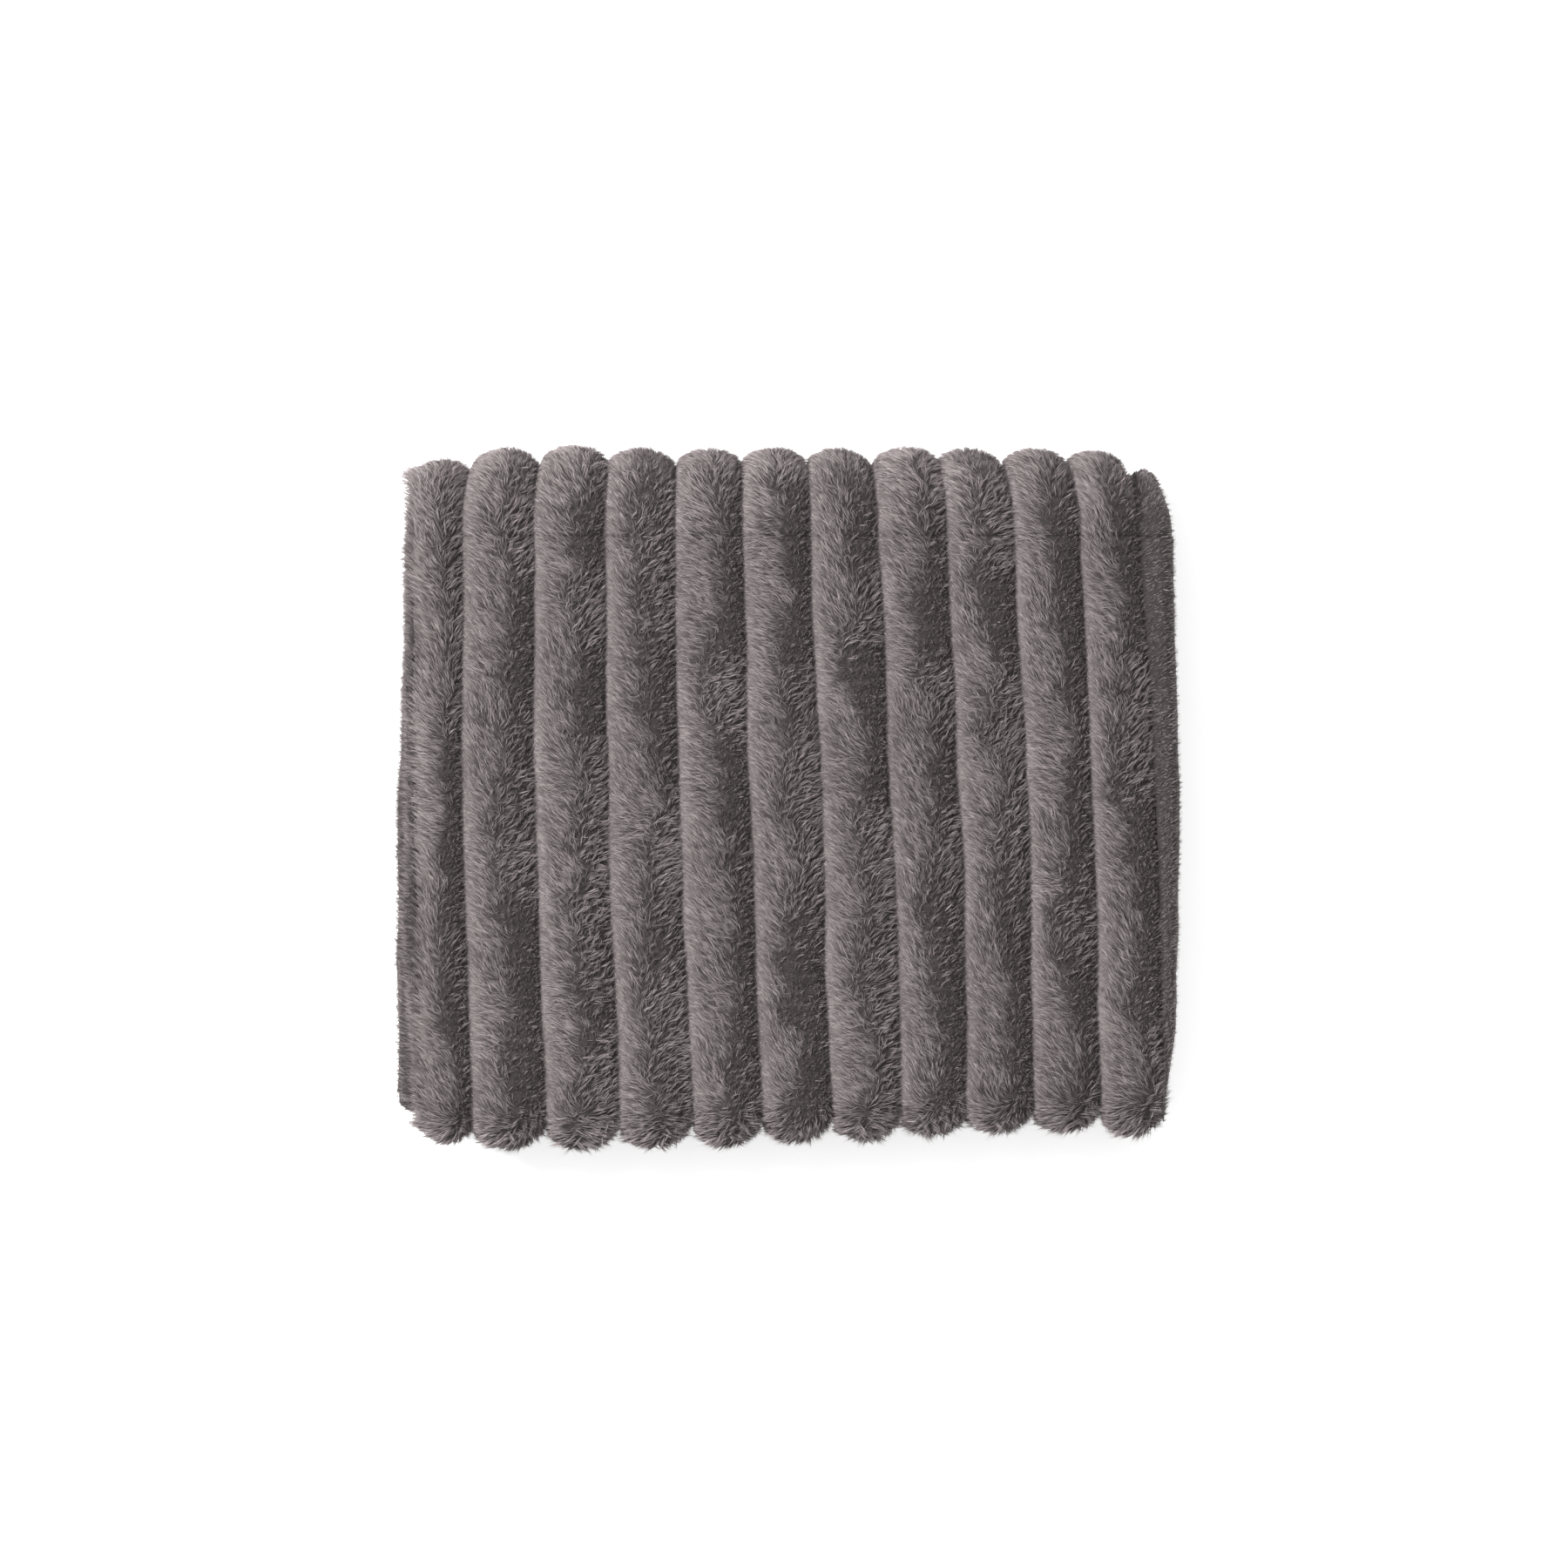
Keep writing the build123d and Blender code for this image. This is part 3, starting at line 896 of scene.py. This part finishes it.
class THROW_OT_plies(bpy.types.Operator):
    """Build the plies folded inside the pack"""

    bl_idname = "throw.plies"
    bl_label = "Inner plies"

    def execute(self, context):
        back = BACK_Y - SEAM_GAP
        outer = Path().run(back, FRONT_Y, TOP_Z - RIB - PLY, 1)
        outer.arc(FRONT_Y, FOLD_Z, PLY, 90, 270, 1.0)
        ply_piece("ply_upper_outer", outer, PLY, "upper_outer_ply", UPPER)
        facing = Path().run(FRONT_Y, back, UPPER_LOW_Z + RIB + PLY, -1, (1.0, 0.0))
        ply_piece("ply_upper_facing", facing, PLY, "upper_facing_ply", UPPER)
        middle = Path().run(back, FRONT_Y, FOLD_Z - PLY, 1)
        ply_piece("plies_upper_middle", middle, 2 * PLY, "upper_middle_plies", UPPER)
        for node, low in (
            ("bottom_outer_ply", RIB), ("bottom_inner_ply", RIB + PLY),
            ("lower_inner_ply", QUARTER), ("lower_facing_ply", QUARTER + PLY),
        ):
            path = Path().run(back, END_Y, low, 1)
            ply_piece(f"ply_{node}", path, PLY, node, LOWER)
        for node, radius, thick in (
            ("back_fold_outer_ply", HINGE_Z - RIB - PLY, PLY),
            ("back_fold_second_ply", HINGE_Z - RIB - 2 * PLY, PLY),
            ("back_fold_third_ply", HINGE_Z - QUARTER - PLY, PLY),
            ("back_fold_inner_ply", HINGE_Z - QUARTER - 2 * PLY, PLY),
            ("back_fold_core", 4.5 * MM, RIB - 4.9 * MM),
        ):
            core = node == "back_fold_core"
            # the core of the back fold shows in the crease and is painted dark as its shade
            ply_piece(
                f"ply_{node}", back_path(radius, step=10), thick, node, None,
                "Painted crease shade" if core else "Plush backing",
            )
        return {"FINISHED"}


class THROW_OT_hems(bpy.types.Operator):
    """Build the hems along the free edge and across the free ends"""

    bl_idname = "throw.hems"
    bl_label = "Hems"

    def execute(self, context):
        cloth = pile_material("Hem plush")
        upper = upper_path(step=4 * MM)
        lower = Path().run(BACK_Y, END_Y, RIB, -1).done()
        bend = back_path(HINGE_Z - RIB)
        for label, path, node, body in (
            ("upper", upper, "upper_left_hem", UPPER),
            ("lower", lower, "bottom_left_hem", LOWER),
            ("back", bend, "back_left_hem", None),
        ):
            front_in = FREE_EDGE_IN[-1] if body == UPPER else -1.2
            edges = (BACK_X[0], FRONT_X[0] + front_in * MM)
            tips = (edges[0] - HEM_REACH, edges[1] - HEM_REACH)
            section = Nose(
                edges, tips, 0.0, HEM_THICK, 30, at_back=float(body is None), wobble=2.2 * MM,
                sink=(9 if body is None else 8) * MM, taper=0.02,
            )
            number = strand_count(path.along[-1] * HEM_AROUND, 1.0 if body != LOWER else 0.6)
            piece = soft_piece(
                f"side_hem_{label}", path, section, cloth, [(0, 1, number, 1.3, 1.0)],
                HEM_COLUMNS, seed=8100,
            )
            if body:
                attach(piece, body)
            else:
                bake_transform(piece)
            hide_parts(node)
        left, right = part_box("bottom_left_fold")[1][0], FRONT_X[RIBS]
        for node, layers in (
            ("bottom_end_hems", (
                (RIB - HEM_THICK, RIB), (RIB, RIB + PLY), (RIB + PLY, QUARTER),
            )),
            ("lower_end_hems", (
                (QUARTER, QUARTER + PLY), (QUARTER + PLY, QUARTER + 2 * PLY),
                (QUARTER + 2 * PLY, QUARTER + 2 * PLY + HEM_THICK),
            )),
        ):
            for level, (low, high) in enumerate(layers):
                start = (left, END_Y + FRONT_SLOPE * left)
                end = (right, END_Y + FRONT_SLOPE * right)
                path = Path().across(start, end, low).done()
                reach = END_HEM_REACH[level] * MM
                section = Nose(
                    (0.0, 0.0), (reach, reach), 0.1 * MM, high - low, int(low / MM) + level,
                    wobble=1.8 * MM,
                )
                number = strand_count((right - left) * HEM_AROUND, 0.55)
                piece = soft_piece(
                    f"{node}_{level + 1}", path, section, cloth, [(0, 1, number, 1.0, 1.4)],
                    HEM_COLUMNS, seed=8300 + 7 * level,
                )
                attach(piece, LOWER)
                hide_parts(node)
        return {"FINISHED"}


class THROW_OT_stage(bpy.types.Operator):
    """Build the pale floor, the soft lights and the camera"""

    bl_idname = "throw.stage"
    bl_label = "Stage"

    def execute(self, context):
        bpy.ops.object.select_all(action="DESELECT")
        bpy.ops.mesh.primitive_plane_add(size=12, location=(0, 0, 0))
        floor = context.active_object
        floor.name = "floor"
        paper = bpy.data.materials.new("Pale paper")
        paper.use_nodes = True
        shader = paper.node_tree.nodes["Principled BSDF"]
        shader.inputs["Base Color"].default_value = (0.93, 0.93, 0.93, 1)
        shader.inputs["Roughness"].default_value = 0.9
        shader.inputs["Emission Color"].default_value = (1, 1, 1, 1)
        shader.inputs["Emission Strength"].default_value = 0.55
        floor.data.materials.append(paper)
        for name, place, size, power in (
            ("window light", (-2.0, 1.0, 2.8), 1.2, 215),
            ("top light", (0.0, 0.3, 3.6), 3.0, 45),
            ("fill light", (2.6, -1.6, 2.4), 2.5, 10),
        ):
            lamp = bpy.data.lights.new(name, "AREA")
            lamp.shape = "DISK"
            lamp.size = size
            lamp.energy = power
            light = bpy.data.objects.new(name, lamp)
            light.location = place
            light.rotation_euler = (-Vector(place)).to_track_quat("-Z", "Y").to_euler()
            context.scene.collection.objects.link(light)
        world = bpy.data.worlds.new("Studio")
        world.use_nodes = True
        world.node_tree.nodes["Background"].inputs["Color"].default_value = (1, 1, 1, 1)
        world.node_tree.nodes["Background"].inputs["Strength"].default_value = 0.34
        context.scene.world = world
        context.scene.view_settings.view_transform = "Standard"
        lens = bpy.data.cameras.new("Camera")
        camera = bpy.data.objects.new("Camera", lens)
        distance, seen = 6.0, 0.90  # how far above the top it hangs, and the width it sees there
        camera.location = (-1.25 * MM, 8 * MM, TOP_Z * 0.95 + distance)
        lens.sensor_width = 36
        lens.lens = lens.sensor_width * distance / seen
        lens.clip_end = 40
        context.scene.collection.objects.link(camera)
        context.scene.camera = camera
        return {"FINISHED"}


class THROW_PT_panel(bpy.types.Panel):
    """Lists what builds the throw"""

    bl_idname = "THROW_PT_panel"
    bl_label = "Folded throw"
    bl_space_type = "VIEW_3D"
    bl_region_type = "UI"
    bl_category = "Throw"

    def draw(self, context):
        layout = self.layout
        for group in (context.scene.throw_sizes, context.scene.throw_colours):
            for name in group.__annotations__:
                layout.prop(group, name)
        for operator in OPERATORS:
            layout.operator(operator.bl_idname)


OPERATORS = (
    THROW_OT_upper_ribs,
    THROW_OT_back_ribs,
    THROW_OT_lower_ribs,
    THROW_OT_side_folds,
    THROW_OT_plies,
    THROW_OT_hems,
    THROW_OT_stage,
)
CLASSES = (ThrowSizes, ThrowColours, *OPERATORS, THROW_PT_panel)


def register():
    for item in CLASSES:
        bpy.utils.register_class(item)
    bpy.types.Scene.throw_sizes = bpy.props.PointerProperty(type=ThrowSizes)
    bpy.types.Scene.throw_colours = bpy.props.PointerProperty(type=ThrowColours)


def unregister():
    del bpy.types.Scene.throw_colours
    del bpy.types.Scene.throw_sizes
    for item in reversed(CLASSES):
        bpy.utils.unregister_class(item)


def main():
    register()
    bpy.ops.throw.upper_ribs()
    bpy.ops.throw.back_ribs()
    bpy.ops.throw.lower_ribs()
    bpy.ops.throw.side_folds()
    bpy.ops.throw.plies()
    bpy.ops.throw.hems()
    bpy.ops.throw.stage()


if __name__ == "__main__":
    main()
